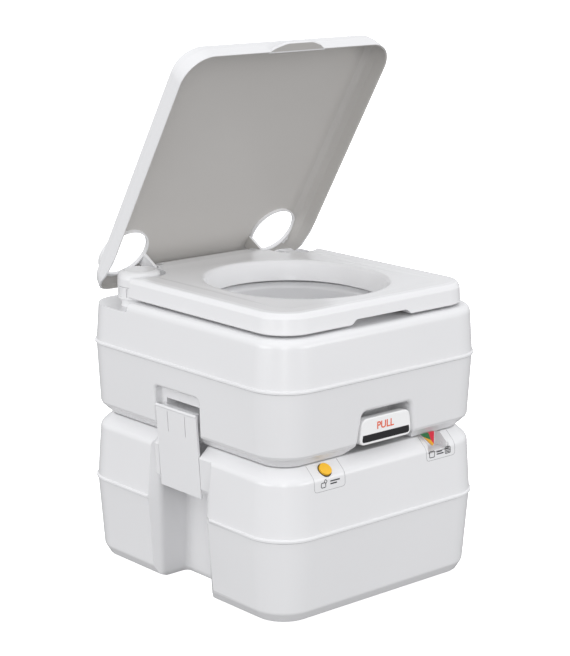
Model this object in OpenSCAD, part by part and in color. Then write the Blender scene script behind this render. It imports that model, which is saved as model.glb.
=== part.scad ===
// Portable camp toilet in millimetres: a flush-water tank with its bowl, seat and lid stands on a
// waste tank and is held down by a latch on each side.
// X points right seen from the front, the front faces -Y and Z points up.
// The origin is on the floor, under the middle of the waste tank.

/* [Tanks] */
// Width across the widest level of both tanks
body_w = 368.8; // [352:0.4:384]
// Length from front to back at the widest level
body_l = 415; // [400:1:430]
// Corner radius at the widest level
corner_r = 54; // [48:1:60]
// Thickness of the moulded tank walls
wall = 3; // [2.4:0.1:3.6]
// Height of the join between the two tanks
join_z = 206; // [204:0.5:208]
// Height of the flat top of the flush tank
tank_top_z = 372; // [370:0.5:374]

/* [Seat and lid] */
// Width of the seat
seat_w = 340; // [332:1:344]
// Radius of the two ends of the seat opening
opening_r = 106; // [98:1:108]
// How far the lid stands open
lid_open = 59.2; // [0:0.1:59.2]
// Outer depth of the lid
lid_h = 36.7; // [34:0.1:38]
// Radius of the holes in the lid and of the notches in the seat that clear the turrets
lid_hole_r = 36; // [34:0.5:37]

/* [Fittings] */
// Width of the pull handle
handle_w = 88; // [80:1:90]
// Width of a side latch
latch_w = 84; // [76:1:86]
// Radius of the pump and filler turrets
turret_r = 29.5; // [28:0.5:30]
// Radius of the air-release button
button_r = 8.7; // [7.5:0.1:9]

/* [Hidden] */
// Smoothness of round shapes
$fn = 72;
// How far a cutting shape runs past the face it cuts
over = 1;
// Length of a round cutting shape that goes right through
through = 60;
// A height above every piece but the open lid
above_z = 420;
// Radial clearance of a pin in the hole it turns in
pin_fit = 0.05;
// Clearance between pieces that pass each other
gap = 0.4;

body_x = body_w / 2;
body_y = body_l / 2;

// The bowl outlet, the valve and the seat opening share this centre line.
outlet_y = -28.5;
outlet_r = 46;
opening_half_flat = 11;

// Outlines of the two tanks from bottom to top: [offset from the widest outline, height].
bead = 2.2;
seam_z = 116;
waste_profile = [
    [-25.8, 0], [-14, 4.5], [-6.4, 17.3], [1, 113.4], [1 + bead, 114.6], [1 + bead, 117.4],
    [1, 118.6], [-3.4, 186], [-5.5, 192], [-21, join_z - 0.5]
];
flush_profile = [
    [-21, join_z + 0.5], [-6, 220], [-4.4, 223.5], [0, 304.6], [bead, 305.8], [bead, 308.4],
    [0, 309.6], [-4, 362], [-6, 367], [-10, 370.6], [-16, tank_top_z]
];

// The rear shelf of the flush tank, where the turrets and the hinge posts stand.
shelf_y = 106;
shelf_z = 359;
turret_x = 137;
turret_y = 136;
turret_hole_r = 20;

// Grip channel in each side of the waste tank. Its mouth flares, more so towards the front,
// and it widens away from the moulding seam.
channel_half = 47;
channel_floor_x = body_x - 58;
channel_draft = 3;
flare_depth = 13;
flare_front = 21.5;
flare_rear = 10;
lower_draft = 4.3;
upper_draft = 3.7;
cheek_front_y = -64;

// Recess for the side latch in the flush tank, and the latch itself.
latch_recess_half = 46;
latch_recess_x = body_x - 12;
latch_recess_top_z = 272;
latch_top_z = 247;
latch_bottom_z = 135.5;
latch_t = 3;
latch_top_x = body_x - 1;
latch_lean = 4.3;
latch_pin_x = body_x - 16.4;
latch_pin_z = 168;
latch_pin_r = 2.5;
latch_pin_half = 49.5;
window_half = 36;
window_bottom_z = 246;
window_top_z = 255.5;

// Front recess of the flush tank and the handle that sits in it.
recess_half = 52.5;
recess_top_z = 264;
recess_back_y = -165;
handle_bottom_z = 218;
handle_h = 34.5;
handle_front_y = -203;
handle_t = 12;

// Heights of the slide valve, from the roof of the waste tank upwards.
roof_z = join_z - 0.5;
valve_r = 66;
blade_z = 217.3;
blade_t = 4;
blade_half = 50;
cover_top_z = 228;
seal_top_z = 232.7;
cavity_roof_z = 241;
cavity_r = 72;
bowl_floor_z = 233;

// Hinge line of the seat and the lid.
hinge_y = 165;
hinge_z = 395;
hinge_r = 3.5;
seat_half = seat_w / 2;
seat_front_y = -193;
seat_back_y = 178;
seat_bottom_z = 375;
seat_h = 28;
seat_tongue_half = 92;
seat_corner_r = 46;
cheek_back_y = 116;
arm_x = 95.5;
arm_t = 4.6;
post_x = 84;
post_t = 7;

// The lid as it lies when closed.
lid_half = 177.6;
lid_front_y = -199.8;
lid_back_y = 206;
lid_rim_z = 386.5;
lid_wall = 3;
lid_corner_r = 42;
lid_hole_x = 133;
lid_hole_y = 146;
lid_collar_h = 7;

// Air-release button and level gauge on the sloping shoulder of the waste tank.
button_x = -100;
button_z = 196;
button_slope = 40;
gauge_x = 97;
gauge_low_z = 184;
gauge_pin_y = -body_y + 16;
gauge_pin_z = 189.5;

// Pour-out spout, folded along the back of the waste tank.
spout_x = -96;
spout_y = 168;
spout_z = 172;
spout_r = 19;
spout_len = 118;
spout_room_z = 144;

// ---- colours ----
shell_white = [0.90, 0.90, 0.92];
part_white = [0.93, 0.93, 0.94];
soft_grey = [0.45, 0.46, 0.47];
dark_grey = [0.16, 0.16, 0.17];
steel = [0.72, 0.73, 0.75];
button_yellow = [0.96, 0.76, 0.12];
gauge_red = [0.90, 0.32, 0.36];

// ---- shared shapes ----

// A box with round corners whose outline follows a profile of [offset, height] points.
module rounded_solid(half_x, half_y, r, profile) {
    cx = half_x - r;
    cy = half_y - r;
    low = profile[0][1];
    high = profile[len(profile) - 1][1];
    for (x = cx > 0 ? [-cx, cx] : [0], y = cy > 0 ? [-cy, cy] : [0])
        translate([x, y, 0])
            rotate_extrude()
                polygon(concat([[0, low]], [for (p = profile) [r + p[0], p[1]]], [[0, high]]));
    if (cy > 0)
        rotate([90, 0, 0])
            linear_extrude(height = 2 * cy, center = true)
                slab_outline(half_x, profile);
    if (cx > 0)
        rotate([90, 0, 90])
            linear_extrude(height = 2 * cx, center = true)
                slab_outline(half_y, profile);
}

module slab_outline(half, profile) {
    n = len(profile);
    polygon(concat(
        [for (p = profile) [half + p[0], p[1]]],
        [for (i = [n - 1:-1:0]) [-half - profile[i][0], profile[i][1]]]
    ));
}

// The same profile moved inward by a wall thickness and trimmed to a lower and an upper height.
function inner_profile(profile, t, low, high) = concat(
    [[profile[0][0] - t, low]],
    [for (p = profile)
        if (p[1] > low + 0.5 && p[1] < high - 0.5 && p[0] < bead - 0.01) [p[0] - t, p[1]]],
    [[profile[len(profile) - 1][0] - t, high]]
);

// A box given by its two opposite corners.
module block(low, high) {
    translate(low)
        cube(high - low);
}

// A round bar lying along X or along Y, between two positions.
module rod_x(r, x0, x1) {
    translate([x0, 0, 0])
        rotate([0, 90, 0])
            cylinder(r = r, h = x1 - x0);
}

module rod_y(r, y0, y1) {
    translate([0, y1, 0])
        rotate([90, 0, 0])
            cylinder(r = r, h = y1 - y0);
}

module ring(r_out, r_in, h) {
    difference() {
        cylinder(r = r_out, h = h);
        translate([0, 0, -over])
            cylinder(r = r_in, h = h + 2 * over);
    }
}

// Puts its children on the left and, mirrored, on the right.
module both_sides() {
    children();
    mirror([1, 0, 0])
        children();
}

// A rounded rectangular plate that stands in the XZ plane, its front at y = 0, running back to t.
module front_plate(w, h, r, t) {
    rotate([90, 0, 0])
        translate([0, 0, -t])
            linear_extrude(height = t)
                union() {
                    square([w - 2 * r, h], center = true);
                    square([w, h - 2 * r], center = true);
                    for (x = [-1, 1], y = [-1, 1])
                        translate([x * (w / 2 - r), y * (h / 2 - r)])
                            circle(r = r);
                }
}

// ---- waste tank ----

// Grip channel on the left side, grown by the wall for the inside of the tank.
module channel_cut(grow) {
    half = channel_half + grow;
    out_x = body_x + 12;
    past = 10;
    rotate([90, 0, 90])
        translate([0, 0, -out_x])
            linear_extrude(height = out_x - channel_floor_x + grow)
                polygon([
                    [-half - channel_draft, -over], [-half, seam_z], [-half - channel_draft, join_z + over],
                    [half + channel_draft, join_z + over], [half, seam_z], [half + channel_draft, -over]
                ]);
    channel_flare(half, -lower_draft, -seam_z - past, over);
    channel_flare(half, upper_draft, -over, join_z - seam_z + past);
}

// The flared mouth leans with the drafted wall, hinged about the seam.
module channel_flare(half, lean, low, high) {
    reach = 12;
    lap = 5;
    grown = (flare_depth + reach) / flare_depth;
    translate([-body_x, 0, seam_z])
        rotate([0, lean, 0])
            translate([0, 0, low])
                linear_extrude(height = high - low)
                    polygon([
                        [flare_depth, -half + lap], [flare_depth, -half],
                        [-reach, -half - flare_front * grown], [-reach, half + flare_rear * grown],
                        [flare_depth, half], [flare_depth, half - lap]
                    ]);
}

// Cheeks in the channel that carry the pin of a side latch; they stop at the tank's own skin.
module latch_cheeks() {
    rear_half = channel_half + 4;
    front_half = latch_w / 2 + 1;
    intersection() {
        rounded_solid(body_x, body_y, corner_r, waste_profile);
        union() {
            latch_cheek(front_half, -cheek_front_y);
            mirror([0, 1, 0])
                latch_cheek(front_half, rear_half);
        }
    }
}

// One cheek in front of the latch, between two distances from the middle.
module latch_cheek(near, far) {
    low_z = latch_bottom_z + 8;
    depth = 34;
    translate([0, -near, 0])
        rotate([90, 0, 0])
            linear_extrude(height = far - near)
                polygon([
                    [-body_x + 4.5, roof_z], [-body_x + 8.5, low_z + 5], [-body_x + 13.5, low_z],
                    [-body_x + depth, low_z], [-body_x + depth, roof_z]
                ]);
}

module latch_pin_hole() {
    translate([-latch_pin_x, 0, latch_pin_z])
        rod_y(latch_pin_r + pin_fit, -latch_pin_half - gap, latch_pin_half + gap);
}

// Niche across the back of the waste tank for the folded spout.
module spout_niche(grow) {
    block([spout_x - 34 - grow, spout_y - 27 - grow, spout_room_z - grow],
          [74 + grow, body_y + 10, join_z + over]);
}

module waste_inside() {
    difference() {
        rounded_solid(body_x, body_y, corner_r,
            inner_profile(waste_profile, wall, wall, roof_z - wall));
        both_sides()
            channel_cut(wall);
        spout_niche(wall);
        button_frame()
            translate([0, 0, -14])
                cylinder(r = button_r + 6.5, h = through);
        block([gauge_x - 23, -body_y, gauge_low_z - wall], [gauge_x + 23, -body_y + 33, join_z]);
    }
}

module waste_tank() {
    color(shell_white)
        difference() {
            union() {
                difference() {
                    rounded_solid(body_x, body_y, corner_r, waste_profile);
                    both_sides()
                        channel_cut(0);
                    spout_niche(0);
                }
                both_sides()
                    latch_cheeks();
            }
            waste_inside();
            both_sides()
                latch_pin_hole();
            translate([0, outlet_y, roof_z - wall - over])
                cylinder(r = outlet_r + 6, h = wall + 2 * over);
            translate([spout_x, spout_y, spout_room_z - wall - over])
                cylinder(r = spout_r - 1, h = wall + 2 * over);
            button_frame()
                translate([0, 0, -through / 2])
                    cylinder(r = button_r + 3.5, h = through);
            gauge_pocket();
        }
}

// ---- slide valve ----

// The base ring of the valve stands in the roof of the waste tank.
module valve_base() {
    color(soft_grey)
        translate([0, outlet_y, 0])
            difference() {
                union() {
                    translate([0, 0, roof_z + 0.1])
                        cylinder(r = valve_r, h = blade_z - roof_z - 0.4);
                    translate([0, 0, roof_z - 14])
                        cylinder(r = outlet_r + 5.5, h = 16);
                }
                translate([0, 0, roof_z - 15])
                    cylinder(r = outlet_r, h = through);
            }
}

// The cover bridges the blade and is carried on two rails beside it.
module valve_cover() {
    rail_low_z = blade_z - 0.25;
    color(soft_grey)
        difference() {
            union() {
                translate([0, outlet_y, blade_z + blade_t + 0.3])
                    cylinder(r = valve_r, h = cover_top_z - blade_z - blade_t - 0.3);
                intersection() {
                    translate([0, outlet_y, rail_low_z])
                        cylinder(r = valve_r, h = 6);
                    for (s = [-1, 1])
                        translate([s * (blade_half + gap + 10), outlet_y, rail_low_z + 3])
                            cube([20, 2 * valve_r, 6], center = true);
                }
            }
            translate([0, outlet_y, rail_low_z - over])
                cylinder(r = outlet_r, h = through);
        }
}

module valve_blade() {
    blade_back = outlet_y + outlet_r + 4;
    color(dark_grey) {
        block([-blade_half, outlet_y - outlet_r - 10, blade_z], [blade_half, blade_back, blade_z + blade_t]);
        block([-24, handle_front_y + handle_t - 1, blade_z],
              [24, outlet_y - outlet_r - 9, blade_z + blade_t]);
    }
}

module valve_lip_seal() {
    color(dark_grey)
        translate([0, outlet_y, cover_top_z + 0.05])
            difference() {
                cylinder(r1 = outlet_r + 11, r2 = outlet_r + 6, h = seal_top_z - cover_top_z - 0.05);
                translate([0, 0, -over])
                    cylinder(r = outlet_r + 1, h = through);
            }
}

// The handle is a shell open at the back, so that fingers can hook behind it.
module pull_handle() {
    mid_z = handle_bottom_z + handle_h / 2;
    color(part_white)
        difference() {
            translate([0, handle_front_y, mid_z])
                front_plate(handle_w, handle_h, 9, handle_t);
            translate([0, handle_front_y + 4, mid_z + 2])
                front_plate(handle_w - 8, handle_h - 12, 5, handle_t);
            block([-24.2, handle_front_y + handle_t - 1.1, blade_z - 0.1],
                  [24.2, handle_front_y + handle_t + over, blade_z + blade_t + 0.1]);
        }
}

// Printed plate across the lower part of the handle's front.
module handle_label() {
    color(dark_grey)
        translate([0, handle_front_y - 0.35, handle_bottom_z + 9.5])
            front_plate(handle_w - 10, 12, 1.5, 0.3);
}

// ---- air release and level gauge ----

// Frame of the air-release button: local Z points out of the sloping shoulder.
module button_frame() {
    translate([button_x, -body_y + 12, button_z])
        rotate([button_slope, 0, 0])
            children();
}

module air_release_button() {
    color(button_yellow)
        button_frame()
            difference() {
                union() {
                    cylinder(r = button_r, h = 4.4);
                    translate([0, 0, -9])
                        cylinder(r = 3, h = 9.5);
                }
                translate([0, 0, -over])
                    ring(5.6, 3.8, 3.8 + over);
            }
}

module air_release_bezel() {
    color(soft_grey)
        button_frame()
            difference() {
                translate([0, 0, -8])
                    cylinder(r = button_r + 3.2, h = 10.5);
                translate([0, 0, -4.2])
                    cylinder(r = button_r + gap, h = 8);
                translate([0, 0, -9])
                    cylinder(r = 3 + pin_fit, h = 9);
            }
}

module air_release_spring() {
    color(steel)
        button_frame()
            translate([0, 0, -4.1])
                ring(5.2, 4.2, 4);
}

// Pocket in the shoulder for the gauge, open to the front and at the top.
module gauge_pocket() {
    block([gauge_x - 20, -body_y - over, gauge_low_z], [gauge_x + 20, -body_y + 30, join_z + over]);
}

module gauge_axis(r, half) {
    translate([0, gauge_pin_y, gauge_pin_z])
        rod_x(r, gauge_x - half, gauge_x + half);
}

// A tray that lines the pocket: floor, back and two ends.
module gauge_housing() {
    color(part_white)
        difference() {
            block([gauge_x - 19.8, -body_y + 7, gauge_low_z + 0.2],
                  [gauge_x + 19.8, -body_y + 29.8, roof_z - 1]);
            block([gauge_x - 17.5, -body_y + 6, gauge_low_z + 2],
                  [gauge_x + 17.5, -body_y + 27.5, join_z + over]);
            shoulder_trim();
            gauge_axis(1.5 + pin_fit, 19);
        }
}

// Everything in front of the sloping shoulder, to trim what is let into it.
module shoulder_trim() {
    rotate([90, 0, 90])
        linear_extrude(height = body_w, center = true)
            polygon([[-body_y - 2, gauge_low_z - over], [-body_y + 5.5, gauge_low_z - over],
                [-body_y + 5.5, 192], [-body_y + 21, roof_z], [-body_y + 21, join_z + over],
                [-body_y - 2, join_z + over]]);
}

// Coloured wedge on a pin: it tips forward as the waste tank fills.
module gauge_flag() {
    color(gauge_red) {
        gauge_axis(1.5, 18.5);
        translate([gauge_x - 8.5, 0, 0])
            rotate([90, 0, 90])
                linear_extrude(height = 17, center = true)
                    polygon([[gauge_pin_y - 2, gauge_pin_z - 1], [gauge_pin_y - 4.5, gauge_pin_z + 2],
                        [gauge_pin_y + 3, gauge_pin_z + 11], [gauge_pin_y + 4.5, gauge_pin_z + 9.5],
                        [gauge_pin_y + 1.5, gauge_pin_z - 1]]);
    }
}

// ---- flush tank ----

module bowl_shape(grow) {
    translate([0, outlet_y, 0])
        rounded_solid(opening_r + 2 + grow, opening_r + 2 + opening_half_flat + grow, opening_r + 2 + grow, [
            [-64, 262 - grow], [-48, 268 - grow], [-14, 340], [-9, 346], [0, 347], [0, 380]
        ]);
}

module bowl_neck(grow) {
    translate([0, outlet_y, bowl_floor_z])
        cylinder(r = outlet_r + grow, h = 40);
}

// Room under the flush tank for the slide valve, its stem and the handle.
module valve_room(grow) {
    low = join_z - over;
    mouth_r = 12;
    front_y = -body_y - 8;
    back_y = recess_back_y + grow;
    translate([0, outlet_y, low])
        cylinder(r = cavity_r + grow, h = cavity_roof_z + grow - low);
    block([-recess_half - grow, recess_back_y - over, low],
          [recess_half + grow, outlet_y, cavity_roof_z - 8 + grow]);
    block([-recess_half - grow, front_y, low], [recess_half + grow, back_y, recess_top_z - mouth_r]);
    translate([0, 0, recess_top_z - mouth_r])
        for (s = [-1, 1])
            translate([s * (recess_half - mouth_r), 0, 0])
                rod_y(mouth_r + grow, front_y, back_y);
    block([-recess_half + mouth_r, front_y, recess_top_z - mouth_r - 8],
          [recess_half - mouth_r, back_y, recess_top_z + grow]);
}

// Space for the latch on the left side of the flush tank.
module latch_room(grow) {
    block([-body_x - 8, -latch_recess_half - grow, join_z - over],
          [-latch_recess_x + grow, latch_recess_half + grow, latch_recess_top_z + grow]);
    block([-body_x - 8, -window_half - grow, window_bottom_z - grow],
          [-latch_recess_x + 8 + grow, window_half + grow, window_top_z + grow]);
}

module rear_shelf(drop) {
    block([-body_x - 8, shelf_y - drop, shelf_z - drop], [body_x + 8, body_y + 8, tank_top_z + 8]);
}

module turret_bore(x) {
    translate([x, turret_y, shelf_z - 20])
        cylinder(r = turret_hole_r, h = through);
}

module flush_inside() {
    difference() {
        rounded_solid(body_x, body_y, corner_r,
            inner_profile(flush_profile, wall, join_z + 0.5 + wall, tank_top_z - wall));
        bowl_shape(wall);
        bowl_neck(wall);
        valve_room(wall);
        both_sides()
            latch_room(wall);
        rear_shelf(wall);
    }
}

// Posts on the shelf that carry the hinge pins; they stand in slots of the seat.
module hinge_posts() {
    for (s = [-1, 1])
        difference() {
            union() {
                block([s * post_x - post_t / 2, hinge_y - 7, shelf_z - wall],
                      [s * post_x + post_t / 2, hinge_y + 4, hinge_z]);
                translate([0, hinge_y, hinge_z])
                    rod_x(7, s * post_x - post_t / 2, s * post_x + post_t / 2);
            }
            translate([0, hinge_y, hinge_z])
                rod_x(hinge_r + pin_fit, s * post_x - post_t, s * post_x + post_t);
        }
}

module flush_tank() {
    color(shell_white) {
        difference() {
            rounded_solid(body_x, body_y, corner_r, flush_profile);
            flush_inside();
            bowl_shape(0);
            bowl_neck(0);
            valve_room(0);
            both_sides()
                latch_room(0);
            rear_shelf(0);
            turret_bore(-turret_x);
            turret_bore(turret_x);
        }
        hinge_posts();
    }
}

// ---- pump and filler ----

// A skirt on a narrower neck that stands on the rear shelf.
module turret_collar(x, top_z) {
    skirt_z = 370;
    translate([x, turret_y, 0])
        difference() {
            union() {
                translate([0, 0, shelf_z + 0.1])
                    cylinder(r = 24, h = skirt_z - shelf_z);
                translate([0, 0, skirt_z])
                    cylinder(r = turret_r, h = top_z - skirt_z);
            }
            translate([0, 0, shelf_z - over])
                cylinder(r = turret_hole_r, h = through);
        }
}

module pump_collar() {
    color(part_white)
        turret_collar(-turret_x, 386.3);
}

module pump_cover() {
    color(part_white)
        translate([-turret_x, turret_y, 386.7])
            difference() {
                union() {
                    cylinder(r = turret_r, h = 12);
                    translate([0, 0, 12])
                        cylinder(r1 = turret_r, r2 = turret_r - 2.5, h = 5.5);
                    translate([0, 0, 17.5])
                        cylinder(r1 = turret_r - 2.5, r2 = turret_r - 7, h = 3);
                }
                translate([0, 0, -over])
                    cylinder(r = 20.5, h = through);
            }
}

module pump_button() {
    color(part_white)
        translate([-turret_x, turret_y, 398]) {
            cylinder(r = 20, h = 9);
            translate([0, 0, -10])
                cylinder(r = 17, h = 10.5);
            translate([0, 0, -32])
                cylinder(r = 5, h = 23);
        }
}

module pump_bellows() {
    folds = 4;
    fold_h = 5;
    color(dark_grey)
        translate([-turret_x, turret_y, shelf_z - 8])
            difference() {
                for (i = [0:folds - 1])
                    translate([0, 0, i * fold_h]) {
                        cylinder(r1 = 14, r2 = 17, h = fold_h / 2);
                        translate([0, 0, fold_h / 2])
                            cylinder(r1 = 17, r2 = 14, h = fold_h / 2);
                    }
                translate([0, 0, -over])
                    cylinder(r = 12, h = folds * fold_h + 2 * over);
            }
}

module pump_pipe() {
    low_z = join_z + 30;
    color(soft_grey)
        translate([-turret_x, turret_y, low_z])
            ring(5, 3.5, shelf_z - 8 - low_z);
}

module filler_neck() {
    color(part_white)
        turret_collar(turret_x, 384.5);
}

module filler_cap() {
    cap_low = 385;
    color(part_white)
        translate([turret_x, turret_y, 0])
            difference() {
                union() {
                    translate([0, 0, cap_low])
                        cylinder(r = turret_r, h = 8);
                    translate([0, 0, cap_low + 8])
                        cylinder(r1 = turret_r, r2 = turret_r - 4, h = 4);
                    translate([0, 0, cap_low - 12])
                        cylinder(r = 19.6, h = 13);
                }
                translate([0, 0, cap_low - 13])
                    cylinder(r = 16, h = 15);
                for (s = [-1, 1])
                    translate([s * 15, 0, cap_low + 12])
                        cube([16, 40, 10], center = true);
            }
}

// ---- seat ----

seat_profile = [
    [-1, seat_bottom_z], [0, seat_bottom_z + 2], [0, seat_bottom_z + 15], [-3, seat_bottom_z + 21],
    [-8, seat_bottom_z + 25.5], [-15, seat_bottom_z + seat_h]
];

module seat_blank() {
    half_y = (seat_back_y - seat_front_y) / 2;
    translate([0, seat_back_y - half_y, 0])
        rounded_solid(seat_half, half_y, seat_corner_r, seat_profile);
}

module seat_opening() {
    r = opening_r;
    translate([0, outlet_y, 0])
        rounded_solid(r, r + opening_half_flat, r, [
            [0, seat_bottom_z - over], [0, seat_bottom_z + 4], [9, seat_bottom_z + seat_h - 4],
            [14, seat_bottom_z + seat_h + over]
        ]);
}

// Everything behind the turrets and beside the hinge tongue is cut away.
module seat_corner_cut() {
    low = seat_bottom_z - 3 * over;
    translate([turret_x, turret_y, low])
        cylinder(r = lid_hole_r, h = through);
    block([turret_x - lid_hole_r, turret_y, low], [seat_half + over, seat_back_y + over, above_z]);
    block([seat_tongue_half, hinge_y - 21, low], [seat_half + over, seat_back_y + over, above_z]);
    block([turret_x, cheek_back_y, low], [seat_half + over, turret_y + over, above_z]);
}

// The underside behind the hinge line slopes up, so the lid can turn past it.
module tongue_slope() {
    rotate([90, 0, 90])
        linear_extrude(height = 2 * seat_half, center = true)
            polygon([[157, seat_bottom_z - over], [seat_back_y + over, seat_bottom_z - over],
                [seat_back_y + over, 389]]);
}

module finger_notch() {
    notch_h = 7;
    translate([0, seat_front_y - 2, 0])
        rotate([90, 0, 0])
            linear_extrude(height = 60, center = true)
                polygon([[-52, seat_bottom_z - over], [-42, seat_bottom_z + notch_h],
                    [42, seat_bottom_z + notch_h], [52, seat_bottom_z - over]]);
}

// The seat is blow-moulded, a closed body all round.
module seat() {
    color(part_white)
        difference() {
            seat_blank();
            seat_opening();
            both_sides()
                seat_corner_cut();
            tongue_slope();
            finger_notch();
            for (s = [-1, 1]) {
                block([s * post_x - post_t / 2 - 1, hinge_y - 10, seat_bottom_z - over],
                      [s * post_x + post_t / 2 + 1, seat_back_y + over, above_z]);
                translate([0, hinge_y, hinge_z])
                    rod_x(hinge_r + pin_fit, s * post_x - 14, s * post_x + 14);
            }
        }
}

module hinge_pins() {
    color(steel)
        for (s = [-1, 1])
            translate([0, hinge_y, hinge_z])
                rod_x(hinge_r, s > 0 ? post_x - 13 : -arm_x - arm_t / 2 + 0.5,
                      s > 0 ? arm_x + arm_t / 2 - 0.5 : -post_x + 13);
}

module seat_bumpers() {
    bumper_x = 128;
    color(soft_grey)
        for (s = [-1, 1], y = [-120, 60])
            translate([s * bumper_x, y, tank_top_z + 0.1])
                cylinder(r = 5, h = seat_bottom_z - tank_top_z - 0.2);
}

// ---- lid ----

module lid_skin_profile_solid(t, low) {
    half_y = (lid_back_y - lid_front_y) / 2;
    top = lid_rim_z + lid_h;
    translate([0, lid_back_y - half_y, 0])
        rounded_solid(lid_half, half_y, lid_corner_r, [
            [-t, low], [-1.5 - t, top - 16], [-5 - t, top - 8], [-10 - t, top - 3.2], [-18 - t, top - t]
        ]);
}

// The rim rises towards the back corners, so the lid clears the shelf as it opens.
module lid_rear_slope() {
    rotate([90, 0, 90])
        linear_extrude(height = 2 * lid_half + 2, center = true)
            polygon([[112, lid_rim_z - over], [lid_back_y + over, lid_rim_z - over],
                [lid_back_y + over, lid_rim_z + 27], [185, lid_rim_z + 15], [160, lid_rim_z + 6.5],
                [135, lid_rim_z + 2]]);
}

// A hinge arm that stands on the inside of the lid beside the tongue of the seat.
module lid_arm(s) {
    top = lid_rim_z + lid_h - lid_wall + over - hinge_z;
    translate([s * arm_x, hinge_y, hinge_z])
        difference() {
            rotate([90, 0, 90])
                linear_extrude(height = arm_t, center = true)
                    polygon([[-12.5, -7], [-7, -9.5], [3, -7], [6.5, 0], [6.5, top], [-12.5, top]]);
            rod_x(hinge_r + pin_fit, -arm_t, arm_t);
        }
}

module lid_shell() {
    lip_half = 47;
    difference() {
        lid_skin_profile_solid(0, lid_rim_z);
        lid_skin_profile_solid(lid_wall, lid_rim_z - over);
    }
    for (s = [-1, 1])
        translate([s * lid_hole_x, lid_hole_y, lid_rim_z + lid_h - lid_collar_h])
            cylinder(r = lid_hole_r + 2.5, h = lid_collar_h - 1);
    translate([0, lid_front_y + 2, lid_rim_z])
        linear_extrude(height = 4)
            polygon([[-lip_half, 0], [-lip_half + 12, -7], [-lip_half + 26, -11.5],
                [lip_half - 26, -11.5], [lip_half - 12, -7], [lip_half, 0]]);
}

module closed_lid() {
    difference() {
        union() {
            difference() {
                lid_shell();
                lid_rear_slope();
            }
            for (s = [-1, 1])
                lid_arm(s);
        }
        for (s = [-1, 1])
            translate([s * lid_hole_x, lid_hole_y, lid_rim_z - over])
                cylinder(r = lid_hole_r, h = lid_h + 2 * over);
    }
}

module lid() {
    color(part_white)
        translate([0, hinge_y, hinge_z])
            rotate([-lid_open, 0, 0])
                translate([0, -hinge_y, -hinge_z])
                    closed_lid();
}

// ---- side latches ----

// The panel leans with the side of the tank and hooks into the window of the flush tank.
module latch_panel_left() {
    slit_y = 18;
    slit_half = 0.6;
    difference() {
        union() {
            translate([-latch_top_x, 0, latch_top_z])
                rotate([0, -latch_lean, 0])
                    translate([0, -latch_w / 2, latch_bottom_z - latch_top_z])
                        cube([latch_t, latch_w, latch_top_z - latch_bottom_z]);
            translate([-latch_top_x + 1.5, 0, latch_top_z])
                rod_y(2.2, -latch_w / 2, latch_w / 2);
            for (s = [-1, 1])
                translate([0, s * (latch_w / 2 - 5), 0])
                    latch_lug();
            block([-latch_top_x + 1.5, -window_half + 2, window_bottom_z + gap],
                  [-latch_recess_x - gap, window_half - 2, window_bottom_z + 2.6]);
        }
        latch_pin_hole();
        for (s = [-1, 1])
            block([-body_x - 2, s * slit_y - slit_half, latch_top_z - 32],
                  [-latch_recess_x - 4, s * slit_y + slit_half, latch_top_z - 4]);
    }
}

module latch_lug() {
    translate([-latch_pin_x, 0, latch_pin_z])
        rod_y(5.5, -3, 3);
    block([-latch_pin_x - 8, -3, latch_pin_z - 5.5], [-latch_pin_x, 3, latch_pin_z + 5.5]);
}

module latch_pin_left() {
    translate([-latch_pin_x, 0, latch_pin_z])
        rod_y(latch_pin_r, -latch_pin_half, latch_pin_half);
}

// ---- pour-out spout ----

module spout_swivel_ring() {
    color(soft_grey)
        translate([spout_x, spout_y, spout_room_z + 0.1])
            ring(spout_r + 5, spout_r + pin_fit, 7);
}

// An upright drum that turns in the swivel ring, with the spout tube coming out of its side.
module pour_spout() {
    drum_top_z = spout_z + spout_r + 1;
    color(part_white)
        difference() {
            union() {
                translate([spout_x, spout_y, spout_room_z + 0.5])
                    cylinder(r = spout_r, h = drum_top_z - spout_room_z - 0.5);
                translate([0, spout_y, spout_z])
                    rod_x(spout_r - 2, spout_x, spout_x + spout_len);
            }
            translate([spout_x, spout_y, spout_room_z - over])
                cylinder(r = spout_r - wall, h = drum_top_z - spout_room_z + over - wall);
            translate([0, spout_y, spout_z])
                rod_x(spout_r - 2 - wall, spout_x, spout_x + spout_len + over);
        }
}

module spout_cap() {
    color(soft_grey)
        translate([0, spout_y, spout_z])
            difference() {
                rod_x(spout_r + 2, spout_x + spout_len - 14, spout_x + spout_len + 4);
                rod_x(spout_r - 2 + pin_fit, spout_x + spout_len - 15, spout_x + spout_len + 0.5);
            }
}

// ---- assembly ----

waste_tank();
valve_base();
valve_cover();
valve_blade();
valve_lip_seal();
pull_handle();
handle_label();
air_release_button();
air_release_bezel();
air_release_spring();
gauge_housing();
gauge_flag();
flush_tank();
pump_collar();
pump_cover();
pump_button();
pump_bellows();
pump_pipe();
filler_neck();
filler_cap();
seat();
hinge_pins();
seat_bumpers();
lid();
color(part_white) latch_panel_left();  // left_latch
color(part_white) mirror([1, 0, 0]) latch_panel_left();  // right_latch
color(steel) latch_pin_left();  // left_latch_pin
color(steel) mirror([1, 0, 0]) latch_pin_left();  // right_latch_pin
spout_swivel_ring();
pour_spout();
spout_cap();
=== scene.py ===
import math

import bmesh
import bpy
from mathutils import Matrix, Vector


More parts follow.
